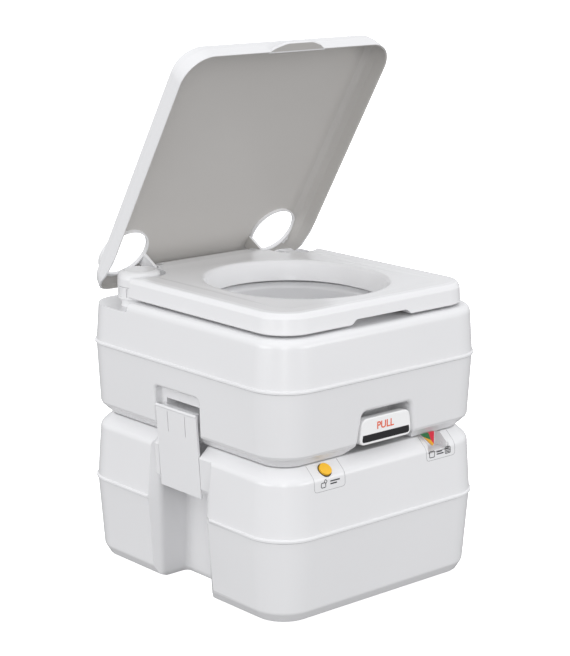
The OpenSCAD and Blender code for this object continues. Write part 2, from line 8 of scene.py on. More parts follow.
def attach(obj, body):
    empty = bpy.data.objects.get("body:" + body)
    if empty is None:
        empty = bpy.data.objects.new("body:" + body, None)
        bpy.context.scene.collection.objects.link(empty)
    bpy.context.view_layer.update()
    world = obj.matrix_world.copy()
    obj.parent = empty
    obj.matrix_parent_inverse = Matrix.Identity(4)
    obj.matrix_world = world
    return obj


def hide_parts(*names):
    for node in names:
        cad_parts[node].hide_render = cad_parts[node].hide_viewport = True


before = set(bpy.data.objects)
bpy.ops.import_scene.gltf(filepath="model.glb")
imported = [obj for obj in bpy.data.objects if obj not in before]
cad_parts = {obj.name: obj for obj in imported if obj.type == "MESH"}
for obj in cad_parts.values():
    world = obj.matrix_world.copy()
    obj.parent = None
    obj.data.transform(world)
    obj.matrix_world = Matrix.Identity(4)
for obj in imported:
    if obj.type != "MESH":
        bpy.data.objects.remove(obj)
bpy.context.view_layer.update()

# Looks of a portable camp toilet, built round its CAD frame. Shapes are given in millimetres in the
# row frame (X right, front towards -Y, Z up) and turned into metres when a mesh is made.
MM = 0.001

# ---- sizes shared with the CAD part ----

body_x = 184.4
body_y = 207.5
corner_r = 54
bead = 2.2
join_z = 206
shelf_y = 106
shelf_z = 359
turret_x = 137
turret_y = 136
turret_r = 29.5
turret_bore_r = 20
hole_r = 36
post_x = 84
post_half = 3.5
arm_x = 95.5
arm_half = 2.3
outlet_y = -28.5
outlet_r = 46
opening_r = 106
opening_flat = 11
# Height where the flush tank's lower edge turns from its steep wall into the slope underneath.
flush_edge_z = 223.5
hinge_y = 165
hinge_z = 395
lid_open = 59.2

# ---- outlines and meshes ----


def rounded_path(points, closed=False, steps=6):
    """The line through (a, b, radius) points, with each corner rounded to its radius."""
    count = len(points)
    path = []
    for i, (a, b, radius) in enumerate(points):
        corner = Vector((a, b))
        at_end = not closed and i in (0, count - 1)
        if at_end or radius == 0:
            path.append((a, b))
            continue
        before = Vector(points[i - 1][:2]) - corner
        after = Vector(points[(i + 1) % count][:2]) - corner
        half_angle = before.angle(after) / 2
        reach = min(radius / math.tan(half_angle), 0.48 * before.length, 0.48 * after.length)
        start = corner + before.normalized() * reach
        end = corner + after.normalized() * reach
        for step in range(steps + 1):
            t = step / steps
            point = start * (1 - t) ** 2 + corner * 2 * t * (1 - t) + end * t ** 2
            path.append((point.x, point.y))
    return path


def grown(outline, distance):
    """A closed outline, given anticlockwise, moved outwards by a distance."""
    moved = []
    for i, point in enumerate(outline):
        before = Vector(point) - Vector(outline[i - 1])
        after = Vector(outline[(i + 1) % len(outline)]) - Vector(point)
        along = before.normalized() + after.normalized()
        out = Vector((along.y, -along.x)).normalized()
        spread = max(0.5, out.dot(Vector((before.y, -before.x)).normalized()))
        moved.append((point[0] + out.x * distance / spread, point[1] + out.y * distance / spread))
    return moved


def ring(half_x, half_y, radius, z, centre_y=0.0):
    """Points round a rounded rectangle at a height, anticlockwise from above."""
    steps = 14
    points = []
    for corner, (side_x, side_y) in enumerate(((1, 1), (-1, 1), (-1, -1), (1, -1))):
        for step in range(steps + 1):
            angle = math.radians(90 * (corner + step / steps))
            points.append((side_x * (half_x - radius) + radius * math.cos(angle),
                           centre_y + side_y * (half_y - radius) + radius * math.sin(angle), z))
    return points


def offset_rings(half_x, half_y, radius, path):
    """Rings of one rounded rectangle, moved out and up along a path of (offset, height)."""
    return [ring(half_x + out, half_y + out, radius + out, z) for out, z in path]


def to_object(name, bm):
    """Turns a bmesh into an object of the scene, with doubled points merged and normals outwards."""
    bmesh.ops.remove_doubles(bm, verts=bm.verts, dist=0.02 * MM)
    bmesh.ops.recalc_face_normals(bm, faces=bm.faces)
    mesh = bpy.data.meshes.new(name)
    bm.to_mesh(mesh)
    bm.free()
    obj = bpy.data.objects.new(name, mesh)
    bpy.context.scene.collection.objects.link(obj)
    return obj


def loft(name, rings, closed=False):
    """A skin over rings of equal length, capped at its ends or closed into a loop."""
    bm = bmesh.new()
    rows = [[bm.verts.new(Vector(point) * MM) for point in points] for points in rings]
    pairs = list(zip(rows, rows[1:]))
    if closed:
        pairs.append((rows[-1], rows[0]))
    for low, high in pairs:
        for i in range(len(low)):
            j = (i + 1) % len(low)
            bm.faces.new((low[i], low[j], high[j], high[i]))
    if not closed:
        bm.faces.new(rows[0])
        bm.faces.new(rows[-1])
    return to_object(name, bm)


def extruded(name, outline, place, low, high, flare=0.0):
    """A prism on an outline of (u, v), placed by a function of (u, v, depth), its ends rounded off."""
    steps = 3 if flare else 0
    rows = []
    for step in range(steps + 1):
        turn = math.radians(90 * step / steps) if steps else 0
        rows.append((flare * (math.sin(turn) - 1), low + flare * (1 - math.cos(turn))))
    for step in range(steps + 1):
        turn = math.radians(90 * (1 - step / steps)) if steps else 0
        rows.append((flare * (math.sin(turn) - 1), high - flare * (1 - math.cos(turn))))
    rings = []
    for out, depth in rows:
        rings.append([place(u, v, depth) for u, v in (grown(outline, out) if out else outline)])
    return loft(name, rings)


def rectangle(low_u, low_v, high_u, high_v, radius=0.0, steps=6):
    """A closed rectangular outline with rounded corners."""
    corners = ((low_u, low_v), (high_u, low_v), (high_u, high_v), (low_u, high_v))
    return rounded_path([(u, v, radius) for u, v in corners], closed=True, steps=steps)


def box(name, low, high, edge):
    """A block between two opposite corners, its edges rounded where edge is more than 0."""
    outline = rectangle(low[0], low[1], high[0], high[1], edge * 1.5, steps=4)
    return extruded(name, outline, lambda u, v, w: (u, v, w), low[2], high[2], edge)


def turned(name, profile, centre=(0, 0), steps=72, frame_matrix=None):
    """A body turned round an upright axis from a closed profile of (radius, height)."""
    rings = []
    for radius, z in profile:
        rings.append([(centre[0] + radius * math.cos(2 * math.pi * i / steps),
                       centre[1] + radius * math.sin(2 * math.pi * i / steps), z) for i in range(steps)])
    obj = loft(name, rings, closed=True)
    if frame_matrix:
        obj.data.transform(frame_matrix)
    return obj


def rod(name, radius, start, end, steps=48):
    """A plain cylinder between two points, for cutting."""
    start, end = Vector(start), Vector(end)
    turn = (end - start).to_track_quat("Z", "Y").to_matrix()
    rings = []
    for base in (start, end):
        rings.append([base + turn @ Vector((radius * math.cos(2 * math.pi * i / steps),
                                            radius * math.sin(2 * math.pi * i / steps), 0))
                      for i in range(steps)])
    return loft(name, rings)


def combine(target, tools, operation="DIFFERENCE"):
    """Cuts the tools out of the target, or joins them to it, and removes them."""
    for tool in tools:
        modifier = target.modifiers.new(operation, "BOOLEAN")
        modifier.solver = "EXACT"
        modifier.operation = operation
        modifier.object = tool
        evaluated = target.evaluated_get(bpy.context.evaluated_depsgraph_get())
        mesh = bpy.data.meshes.new_from_object(evaluated)
        target.modifiers.clear()
        target.data = mesh
        bpy.data.objects.remove(tool)
    return target


def smooth(obj):
    """Smooth shading with crisp edges kept, and flat faces that stay flat."""
    crisp_angle = 32
    obj.data.shade_smooth()
    obj.data.set_sharp_from_angle(angle=math.radians(crisp_angle))
    modifier = obj.modifiers.new("flat faces stay flat", "WEIGHTED_NORMAL")
    modifier.keep_sharp = True


def finish_piece(obj, material, body, nodes=()):
    """Gives a piece its material, the body it moves with and the CAD nodes it replaces."""
    obj.data.materials.clear()
    obj.data.materials.append(material)
    smooth(obj)
    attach(obj, body)
    if nodes:
        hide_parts(*nodes)


# ---- materials ----


def plastic(name, colour, roughness, grain=0.03, cloud=0.02):
    """Moulded plastic: faintly cloudy colour, uneven gloss with light scuffs, and a fine grain."""
    material = bpy.data.materials.new(name)
    material.use_nodes = True
    nodes, links = material.node_tree.nodes, material.node_tree.links
    shader = nodes["Principled BSDF"]
    shader.inputs["IOR"].default_value = 1.46
    place = nodes.new("ShaderNodeTexCoord")

    def noise(scale, detail):
        node = nodes.new("ShaderNodeTexNoise")
        node.inputs["Scale"].default_value = scale
        node.inputs["Detail"].default_value = detail
        links.new(place.outputs["Object"], node.inputs["Vector"])
        return node.outputs["Fac"]

    def ramp(source, low, high, first, last):
        node = nodes.new("ShaderNodeValToRGB")
        node.color_ramp.elements[0].position = low
        node.color_ramp.elements[1].position = high
        node.color_ramp.elements[0].color = first
        node.color_ramp.elements[1].color = last
        links.new(source, node.inputs["Fac"])
        return node.outputs["Color"]

    darker = [channel * (1 - cloud) for channel in colour]
    tone = ramp(noise(5.0, 2.0), 0.3, 0.7, (*darker, 1), (*colour, 1))
    links.new(tone, shader.inputs["Base Color"])
    dull = min(1.0, roughness * 1.12)
    gloss = ramp(noise(11.0, 3.0), 0.25, 0.75, (roughness,) * 3 + (1,), (dull,) * 3 + (1,))
    links.new(gloss, shader.inputs["Roughness"])
    bump = nodes.new("ShaderNodeBump")
    bump.inputs["Strength"].default_value = grain
    bump.inputs["Distance"].default_value = 0.0004
    links.new(noise(900.0, 4.0), bump.inputs["Height"])
    links.new(bump.outputs["Normal"], shader.inputs["Normal"])
    return material


def metal(name, colour, roughness):
    """Bare metal with the same unevenness and light scuffs."""
    material = plastic(name, colour, roughness, grain=0.05, cloud=0.08)
    material.node_tree.nodes["Principled BSDF"].inputs["Metallic"].default_value = 1.0
    return material


shell_white = plastic("shell_white", (0.80, 0.80, 0.81), 0.22)
part_white = plastic("part_white", (0.82, 0.82, 0.83), 0.20)
face_white = plastic("face_white", (0.92, 0.92, 0.92), 0.25)
# The inside of the lid: partly its own warm grey, partly painted shade.
lid_inside_tone_and_shade = plastic("lid_inside_tone_and_shade", (0.54, 0.525, 0.505), 0.30)
inner_grey = plastic("inner_grey", (0.30, 0.30, 0.31), 0.40)
seal_black = plastic("seal_black", (0.02, 0.02, 0.022), 0.55, grain=0.08)
blade_black = plastic("blade_black", (0.035, 0.035, 0.038), 0.35)
bumper_grey = plastic("bumper_grey", (0.25, 0.25, 0.26), 0.6, grain=0.08)
button_yellow = plastic("button_yellow", (0.93, 0.52, 0.02), 0.30)
gauge_red = plastic("gauge_red", (0.72, 0.03, 0.06), 0.30)
gauge_green = plastic("gauge_green", (0.03, 0.17, 0.06), 0.30)
gauge_yellow = plastic("gauge_yellow", (0.85, 0.42, 0.04), 0.30)
print_black = plastic("print_black", (0.012, 0.012, 0.014), 0.35)
print_dark = plastic("print_dark", (0.035, 0.035, 0.04), 0.45)
print_line = plastic("print_line", (0.34, 0.34, 0.35), 0.45)
print_orange = plastic("print_orange", (0.80, 0.13, 0.05), 0.40)
# Painted shade of the gap round the air-release button.
button_gap_shade = plastic("button_gap_shade", (0.05, 0.028, 0.008), 0.4)
steel = metal("steel", (0.62, 0.63, 0.65), 0.28)

# ---- tank outlines ----

waste_path = rounded_path([
    (-25.8, 0, 0), (-14, 4.5, 3), (-6.4, 17.3, 10), (1, 113.4, 0.8), (1 + bead, 114.6, 0.8),
    (1 + bead, 117.4, 0.8), (1, 118.6, 0.8), (-4, 190.6, 13), (-20.4, 204.9, 1.2), (-23, 205.5, 0)])
flush_path = rounded_path([
    (-23, 206.5, 0), (-20.6, 206.8, 0.8), (-6.1, 220, 1.2), (-4.4, 223.5, 3), (0, 304.6, 0.8),
    (bead, 305.8, 0.8), (bead, 308.4, 0.8), (0, 309.6, 0.8), (-4.4, 372, 12), (-30, 372, 0)])


def wall_offset(path, z):
    """How far a tank's wall stands out from its widest outline at a height."""
    for (low_out, low_z), (high_out, high_z) in zip(path, path[1:]):
        if low_z <= z <= high_z and high_z > low_z:
            share = (z - low_z) / (high_z - low_z)
            return low_out + share * (high_out - low_out)
    return path[0][0] if z < path[0][1] else path[-1][0]


def front_of(path, proud):
    """Puts (x, z, depth) on the front wall of a tank, or a little proud of it."""
    return lambda u, v, depth: (u, -body_y - wall_offset(path, v) - proud + depth, v)


def plain_front(u, v, depth):
    return u, depth, v


def side_wall(side):
    """Puts (y, z, depth) on the upper part of a side wall of the flush tank."""
    def place(u, v, depth):
        out = wall_offset(flush_path, max(v, flush_edge_z))
        return side * (body_x + out - depth), side * -u, v
    return place


def press(name, outline, place, floor_depth, flare):
    """A tool that presses a pocket into a wall: its mouth is flared and its floor corner is round."""
    floor_r = 2.0
    rows = [(flare, -9.0)]
    for step in range(7):
        turn = math.radians(90 * step / 6)
        rows.append((flare * (1 - math.sin(turn)), flare * (1 - math.cos(turn))))
    for step in range(1, 5):
        turn = math.radians(90 * step / 4)
        rows.append((-floor_r * (1 - math.cos(turn)), floor_depth - floor_r * (1 - math.sin(turn))))
    rings = []
    for out, depth in rows:
        rings.append([place(u, v, depth) for u, v in grown(outline, out)])
    return loft(name, rings)


# ---- waste tank ----

button_slope = math.radians(40)
seam_z = 116
channel_half = 47
wall = 3
channel_floor_x = body_x - 58
flare_depth = 13
flare_front = 21.5
flare_rear = 10
# How far the side wall leans in, and how far the channel widens, per millimetre away from the seam.
lean_below_seam = 0.075
lean_above_seam = 0.065
channel_draft = 0.026


def channel_outline(z):
    """The grip channel at a height: its flared mouth follows the drafted wall above and below the seam."""
    away = abs(z - seam_z)
    lean = away * (lean_below_seam if z < seam_z else lean_above_seam)
    widened = channel_draft * away
    half = channel_half + widened
    front_x = body_x - lean - flare_depth * (1 - widened / flare_front)
    rear_x = body_x - lean - flare_depth * (1 - widened / flare_rear)
    reach = 12
    share = (flare_depth + reach) / flare_depth
    return rounded_path([
        (body_x - lean + reach, -channel_half - flare_front * share, 0),
        (body_x - lean + reach, channel_half + flare_rear * share, 0),
        (rear_x, half, 14), (channel_floor_x, half, 5),
        (channel_floor_x, -half, 5), (front_x, -half, 14)], closed=True)


def channel_tool(side):
    """The grip channel in one side, wider at its foot where the bottom edge is rounded."""
    rows = [(4.4, -6), (3.6, 0.0), (2.2, 2.6), (0.7, 5.0), (0, 9), (0, 60), (0, seam_z), (0, 160),
            (0, join_z + 8)]
    rings = []
    for out, z in rows:
        rings.append([(side * x, y, z) for x, y in grown(channel_outline(z), out)])
    return loft("channel_tool", rings)


def latch_cheeks():
    """Cheeks beside the latches, trimmed to the skin of the tank."""
    cheek_low = 143.5
    cheek_root_x = -body_x + 34
    outline = rounded_path([
        (-body_x + 4.5, 210, 0), (cheek_root_x, 210, 0), (cheek_root_x, cheek_low, 0),
        (-body_x + 12, cheek_low, 3), (-body_x + 8.2, cheek_low + 6, 3)], closed=True)
    cheeks = []
    for side in (-1, 1):
        for low_y, high_y in ((-66, -43), (43, 51)):
            cheek = extruded("cheek", outline, lambda u, v, w: (-side * u, w, v), low_y, high_y)
            skin = loft("skin", offset_rings(body_x, body_y, corner_r, waste_path))
            cheeks.append(combine(cheek, [skin], "INTERSECT"))
    return cheeks


def build_waste_tank():
    tank = loft("waste_tank_shell", offset_rings(body_x, body_y, corner_r, waste_path))
    inside = [(out - wall, z) for out, z in waste_path if 4 < z < 200 and out < 2]
    inside = [(-9.6, 4), *inside, (-24, 201)]
    hollow = loft("hollow", offset_rings(body_x, body_y, corner_r, inside))
    keep_out = [channel_keep(-1), channel_keep(1),
                box("niche_keep", (-134, 137, 140), (78, 230, 210), 0)]
    combine(hollow, keep_out)
    tools = [channel_tool(-1), channel_tool(1),
             box("niche", (-130, 141, 144), (74, 230, 214), 1.5),
             hollow,
             rod("outlet", outlet_r + 6, (0, outlet_y, 190), (0, outlet_y, 215)),
             box("gauge_pocket", (77, -230, 184), (117, -body_y + 30, 214), 0),
             rod("button_hole", 9.9, button_point(-30), button_point(30), 72)]
    combine(tank, tools)
    combine(tank, latch_cheeks(), "UNION")
    finish_piece(tank, shell_white, "waste_body", ["waste_tank"])


def channel_keep(side):
    """What the hollow of the waste tank leaves standing round a grip channel."""
    low_x, high_x = sorted((side * (channel_floor_x - wall), side * (body_x + 20)))
    return box("channel_keep", (low_x, -78, -5), (high_x, channel_half + 20, 220), 0)


def button_point(height):
    """A point on the axis of the air-release button, which leans out of the shoulder."""
    base = Vector((-100, -body_y + 12, 196))
    return base + Vector((0, -math.sin(button_slope), math.cos(button_slope))) * height


# ---- flush tank ----

latch_half = 46


def recess_outline():
    """The front recess from below: it widens at its foot into the sloping lower edge."""
    left = [(-66, 196, 0), (-63, 206, 5), (-55, 213, 10), (-48.5, 222, 14), (-42.5, 262.5, 9)]
    right = [(-x, z, r) for x, z, r in reversed(left)]
    return list(reversed(rounded_path(left + right, closed=True, steps=8)))


def build_flush_tank():
    tank = loft("flush_tank_shell", offset_rings(body_x, body_y, corner_r, flush_path))
    bowl_path = rounded_path([
        (-64, 261, 0), (-48, 267, 12), (-15, 340, 5), (-9, 346.5, 2), (0, 347, 2), (0, 366, 6),
        (9, 374, 0)])
    bowl_half = opening_r + 2
    bowl = loft("bowl", [ring(bowl_half + out + 0.5, bowl_half + opening_flat + out, bowl_half + out,
                              z, outlet_y) for out, z in bowl_path])
    step = rounded_path([(shelf_y, shelf_z, 3), (230, shelf_z, 0), (230, 392, 0), (99, 392, 0),
                         (100.5, 372.3, 4), (shelf_y - 0.5, 370, 6)], closed=True)
    shelf = extruded("shelf", step, lambda u, v, w: (w, u, v), -230, 230)
    mouth = press("mouth", recess_outline(), front_of_recess, 42, 5.5)
    tools = [bowl,
             rod("neck", outlet_r, (0, outlet_y, 200), (0, outlet_y, 300), 72),
             rod("valve_room", 72, (0, outlet_y, 200), (0, outlet_y, 241), 96),
             box("stem_room", (-53, -170, 200), (53, outlet_y, 233), 0),
             box("blade_room", (-52.5, -190, 200), (52.5, -160, 222.6), 0),
             mouth, shelf]
    for side in (-1, 1):
        outline = rectangle(-latch_half, 196, latch_half, 272, 8)
        tools.append(press("latch_recess", outline, side_wall(side), 12.5, 4.0))
        slot_low, slot_high = sorted((side * (body_x - 50), side * (body_x - 6)))
        tools.append(box("window", (slot_low, -36, 246), (slot_high, 36, 255.5), 0.6))
        tools.append(rod("turret_bore", turret_bore_r, (side * turret_x, turret_y, 345),
                         (side * turret_x, turret_y, 375), 72))
    combine(tank, tools)
    finish_piece(tank, shell_white, "flush_body", ["flush_tank"])


def front_of_recess(u, v, depth):
    """Like the front wall, but straight down below its lower edge."""
    return u, -body_y - wall_offset(flush_path, max(v, flush_edge_z)) + depth, v


def build_hinge_posts():
    posts = []
    for side in (-1, 1):
        outline = rounded_path([(158, 356, 0), (169, 356, 0), (169, 391, 3), (171, 398, 5), (165, 402, 5),
                                (159, 398, 5), (158, 391, 3)], closed=True)
        posts.append(extruded("hinge_post", outline, lambda u, v, w: (w, u, v), side * post_x - post_half,
                              side * post_x + post_half, 0.8))
    post = combine(posts[0], posts[1:], "UNION")
    post.name = "hinge_posts"
    finish_piece(post, shell_white, "flush_body")


# ---- pump and filler ----


def collar_profile(top_z):
    """A turret's skirt on a narrower neck that stands on the rear shelf."""
    neck_r = 24
    skirt_z = 370
    foot_z = shelf_z + 0.1
    return rounded_path([
        (turret_bore_r, foot_z, 0), (neck_r + 1, foot_z, 0), (neck_r, 361, 1.5), (neck_r, skirt_z, 0.5),
        (turret_r, skirt_z, 0.6), (turret_r, top_z, 1), (turret_bore_r, top_z, 0.5)],
        closed=True, steps=4)


def collar_windows():
    """Six shallow windows round the skirt of the pump turret."""
    windows = []
    for i in range(6):
        arc = [math.radians(136 + 60 * i + 5 * step) for step in range(11)]
        outline = [(34 * math.cos(a), 34 * math.sin(a)) for a in arc]
        outline += [(28 * math.cos(a), 28 * math.sin(a)) for a in reversed(arc)]
        windows.append(extruded("window", outline, lambda u, v, w: (u - turret_x, v + turret_y, w),
                                373, 385))
    return windows


def build_turrets():
    collar = turned("pump_collar_windowed", collar_profile(386.3), (-turret_x, turret_y), 96)
    combine(collar, collar_windows())
    finish_piece(collar, part_white, "flush_body", ["pump_collar"])
    cover = turned("pump_cover_domed", rounded_path([
        (20.5, 386.7, 0.4), (turret_r, 386.7, 0.8), (turret_r, 397.5, 8), (turret_r - 1.6, 402.6, 5),
        (turret_r - 4.6, 405.8, 5), (21.5, 407.3, 4), (20.5, 407.2, 0.6)], closed=True),
        (-turret_x, turret_y), 96)
    finish_piece(cover, part_white, "flush_body", ["pump_cover"])
    neck = turned("filler_neck_collar", collar_profile(384.5), (turret_x, turret_y), 96)
    finish_piece(neck, part_white, "flush_body", ["filler_neck"])


# ---- seat ----

seat_half = 170
seat_front = -193
seat_back = 178
seat_low = 375
seat_top = 403
seat_r = 46


def seat_ring(out, z):
    half_y = (seat_back - seat_front) / 2
    return ring(seat_half + out, half_y + out, seat_r + out, z, seat_back - half_y)


def opening_ring(out, z):
    radius = opening_r + out
    return ring(radius + 0.5, radius + opening_flat, radius, z, outlet_y)


def seat_rings(outer, inner, dip):
    """Rings up the outer edge, over the top with a slight dip, and down into the opening."""
    rings = [seat_ring(out, z) for out, z in outer]
    inward = [opening_ring(out, z) for out, z in inner]
    last, first = rings[-1], inward[0]
    for share in (0.12, 0.35, 0.6, 0.85):
        sag = dip * math.sin(math.pi * share)
        rings.append([tuple(Vector(a).lerp(Vector(b), share) - Vector((0, 0, sag)))
                      for a, b in zip(last, first)])
    return rings + inward


def seat_tools():
    """What is cut away at the rear corners of the seat for the turrets and the shelf."""
    tools = []
    low = 360
    high = 430
    for side in (-1, 1):
        tools.append(rod("turret_room", hole_r, (side * turret_x, turret_y, low),
                         (side * turret_x, turret_y, high), 96))
        for near_x, near_y in ((turret_x - hole_r, turret_y), (92, hinge_y - 21), (turret_x, 116)):
            low_x, high_x = sorted((side * near_x, side * 190))
            tools.append(box("corner_room", (low_x, near_y, low), (high_x, 200, high), 0))
    return tools


def build_seat():
    outer = rounded_path([(-1.5, seat_low, 0), (0, seat_low + 1.5, 1), (-1.2, seat_top - 7.5, 4),
                          (-4.5, seat_top - 0.8, 4), (-12, seat_top, 4), (-30, seat_top, 0)])
    inner = rounded_path([(18, seat_top - 0.2, 0), (11.5, seat_top - 0.6, 5), (8, seat_top - 5, 5),
                          (1.5, seat_low + 6, 6), (0, seat_low + 1, 1.5), (1.5, seat_low, 0)])
    seat = loft("seat_moulding", seat_rings(outer, inner, 0.7), closed=True)
    slope = extruded("slope", [(157, 368), (190, 368), (190, 393), (179, 389)],
                     lambda u, v, w: (w, u, v), -200, 200)
    notch_path = rounded_path([(-60, seat_low - 5, 0), (60, seat_low - 5, 0), (54, seat_low - 0.5, 6),
                               (44, seat_low + 7, 8), (-44, seat_low + 7, 8), (-54, seat_low - 0.5, 6)],
                              closed=True)
    notch = extruded("notch", notch_path, plain_front, -210, -160)
    slot_half = post_half + 1
    slots = []
    for side in (-1, 1):
        slots.append(box("post_slot", (side * post_x - slot_half, hinge_y - 10, 370),
                         (side * post_x + slot_half, 190, 430), 0.8))
        slots.append(rod("pin_hole", 3.55, (side * post_x - 14, hinge_y, hinge_z),
                         (side * post_x + 14, hinge_y, hinge_z)))
    combine(seat, [*seat_tools(), slope, notch, *slots])
    finish_piece(seat, part_white, "seat_body", ["seat"])


# ---- lid ----

lid_half = 177.6
lid_front = -199.8
lid_back = 206
lid_rim = 386.5
lid_top = 423.2
lid_r = 42
lid_hole_x = 133
lid_hole_y = 146


def lid_ring(out, z):
    half_y = (lid_back - lid_front) / 2
    return ring(lid_half + out, half_y + out, lid_r + out, z, lid_back - half_y)


def lid_hole(side):
    """A tool for a hole over a turret, its mouth rounded at the top of the lid."""
    mouth = [(hole_r + 5, lid_top + 6), (hole_r + 2.2, lid_top + 0.4), (hole_r + 1.2, lid_top - 0.5),
             (hole_r + 0.3, lid_top - 1.6), (hole_r, lid_top - 3), (hole_r, lid_rim - 4)]
    turns = [math.radians(5 * i) for i in range(72)]
    rings = []
    for radius, z in mouth:
        rings.append([(side * lid_hole_x + radius * math.cos(turn), lid_hole_y + radius * math.sin(turn), z)
                      for turn in turns])
    return loft("hole", rings)


def tone_lid_inside(lid):
    """Tones the inside of the lid, closed here, warmer and darker, but not the walls of its holes: partly
    the lid's own warm grey, partly painted shade.
    """
    lid.data.materials.append(lid_inside_tone_and_shade)
    middle = Vector((0, 0, lid_rim)) * MM
    near_hole = (hole_r + 5.5) * MM
    for face in lid.data.polygons:
        towards_middle = face.normal.dot(middle - face.center) > 0
        from_hole = math.hypot(abs(face.center.x) - lid_hole_x * MM, face.center.y - lid_hole_y * MM)
        if towards_middle and from_hole >= near_hole:
            face.material_index = 1


def build_lid():
    inside = rounded_path([(-38, lid_top - 3, 0), (-16, lid_top - 3.6, 8), (-7, lid_top - 8, 6),
                           (-4, lid_top - 18, 8), (-3, lid_rim + 1, 1.2), (-2.2, lid_rim, 1)])
    outside = rounded_path([(-0.8, lid_rim, 1), (0, lid_rim + 0.8, 1), (-1.2, lid_top - 20, 10),
                            (-4.5, lid_top - 8.5, 6), (-13, lid_top - 1, 8), (-24, lid_top, 6),
                            (-38, lid_top, 0)])
    rings = [lid_ring(out, z) for out, z in inside[:-1] + outside]
    lid = loft("lid_moulding", rings)
    lip_path = rounded_path([(-47, 0, 0), (47, 0, 0), (38, -5.5, 14), (22, -11.5, 26), (-22, -11.5, 26),
                             (-38, -5.5, 14)], closed=True)
    lip = extruded("lip", lip_path, lambda u, v, w: (u, lid_front + 2 + v, w), lid_rim, lid_rim + 4, 1.2)
    collars = []
    for side in (-1, 1):
        collars.append(rod("collar", hole_r + 2.5, (side * lid_hole_x, lid_hole_y, lid_top - 7),
                           (side * lid_hole_x, lid_hole_y, lid_top - 1), 72))
    combine(lid, [lip, *collars], "UNION")
    slope = extruded("slope", rounded_path([
        (105, lid_rim - 6, 0), (215, lid_rim - 6, 0), (215, lid_rim + 30, 0), (190, lid_rim + 17, 20),
        (160, lid_rim + 5.5, 16), (130, lid_rim + 0.8, 14), (105, lid_rim - 0.5, 0)], closed=True),
        lambda u, v, w: (w, u, v), -200, 200)
    combine(lid, [lid_hole(-1), lid_hole(1), slope])
    arms = []
    for side in (-1, 1):
        outline = rounded_path([(152.5, 388, 3), (158, 385.5, 3), (168, 388.5, 6), (171.5, hinge_z, 4),
                                (171.5, lid_top - 2, 0), (152.5, lid_top - 2, 0)], closed=True)
        arms.append(extruded("arm", outline, lambda u, v, w: (w, u, v), side * arm_x - arm_half,
                             side * arm_x + arm_half, 0.6))
    combine(lid, arms, "UNION")
    finish_piece(lid, part_white, "lid_body", ["lid"])
    tone_lid_inside(lid)
    hinge = Vector((0, hinge_y, hinge_z)) * MM
    turn = Matrix.Rotation(math.radians(-lid_open), 4, "X")
    lid.data.transform(Matrix.Translation(hinge) @ turn @ Matrix.Translation(-hinge))


build_waste_tank()
build_flush_tank()
build_hinge_posts()
build_turrets()
build_seat()
build_lid()

# ---- handle ----

handle_low = 218
handle_high = 252.8
handle_front = -203.2
handle_foot_half = 46.2
handle_head_half = 42.2


def handle_outline(inset, radii):
    """The handle's face is a little wider at its foot."""
    low_half = handle_foot_half - inset
    high_half = handle_head_half - inset
    low_r, high_r = radii
    return rounded_path([
        (-low_half, handle_low + inset, low_r), (low_half, handle_low + inset, low_r),
        (high_half, handle_high - inset, high_r), (-high_half, handle_high - inset, high_r)],
        closed=True, steps=8)


def build_handle():
    """The pull handle with its printed band and a generic word that says what to do with it."""
    handle = extruded("handle_moulding", handle_outline(0, (9, 12)), plain_front, handle_front,
                      handle_front + 11.5, 1.8)
    hollow = extruded("hollow", handle_outline(5, (4, 6)), plain_front, handle_front + 4, handle_front + 20)
    stem = box("stem", (-24.2, handle_front + 10.4, 217.2), (24.2, handle_front + 20, 221.4), 0)
    combine(handle, [hollow, stem])
    finish_piece(handle, face_white, "valve_body", ["pull_handle"])
    band_top = 231.2
    slant = (band_top - handle_low) / (handle_high - handle_low) * 4
    band = extruded("handle_band", rounded_path([
        (-42.2, handle_low + 3.6, 5), (42.2, handle_low + 3.6, 5), (45.2 - slant - 3, band_top, 0.6),
        (-45.2 + slant + 3, band_top, 0.6)], closed=True), plain_front, handle_front - 0.25,
        handle_front + 0.2)
    finish_piece(band, print_black, "valve_body", ["handle_label"])
    build_pull_word()


def build_pull_word():
    curve = bpy.data.curves.new("pull_word", "FONT")
    curve.body = "PULL"
    curve.align_x = "CENTER"
    curve.align_y = "CENTER"
    curve.size = 13.8 * MM
    curve.extrude = 0.1 * MM
    curve.offset = 0.25 * MM
    text = bpy.data.objects.new("pull_word", curve)
    bpy.context.scene.collection.objects.link(text)
    text.matrix_world = (Matrix.Translation(Vector((-1.5, handle_front - 0.1, 240.3)) * MM)
                         @ Matrix.Rotation(math.radians(90), 4, "X"))
    bpy.context.view_layer.update()
    mesh = bpy.data.meshes.new_from_object(text.evaluated_get(bpy.context.evaluated_depsgraph_get()))
    mesh.transform(text.matrix_world)
    bpy.data.objects.remove(text)
    word = bpy.data.objects.new("handle_pull_word", mesh)
    bpy.context.scene.collection.objects.link(word)
    finish_piece(word, print_orange, "valve_body")


build_handle()

# ---- button and gauge ----


def build_button_rim():
    """A thin dark ring, flush with the shoulder, round the air-release button; its dark colour is painted
    shade of the gap round the button.
    """
    slope = Matrix.Translation(button_point(0) * MM) @ Matrix.Rotation(button_slope, 4, "X")
    rim = turned("air_release_rim", [(9.05, -8), (9.8, -8), (9.8, 1.6), (9.4, 2.0), (9.05, 1.6)], steps=72,
                 frame_matrix=slope)
    finish_piece(rim, button_gap_shade, "waste_body", ["air_release_bezel"])


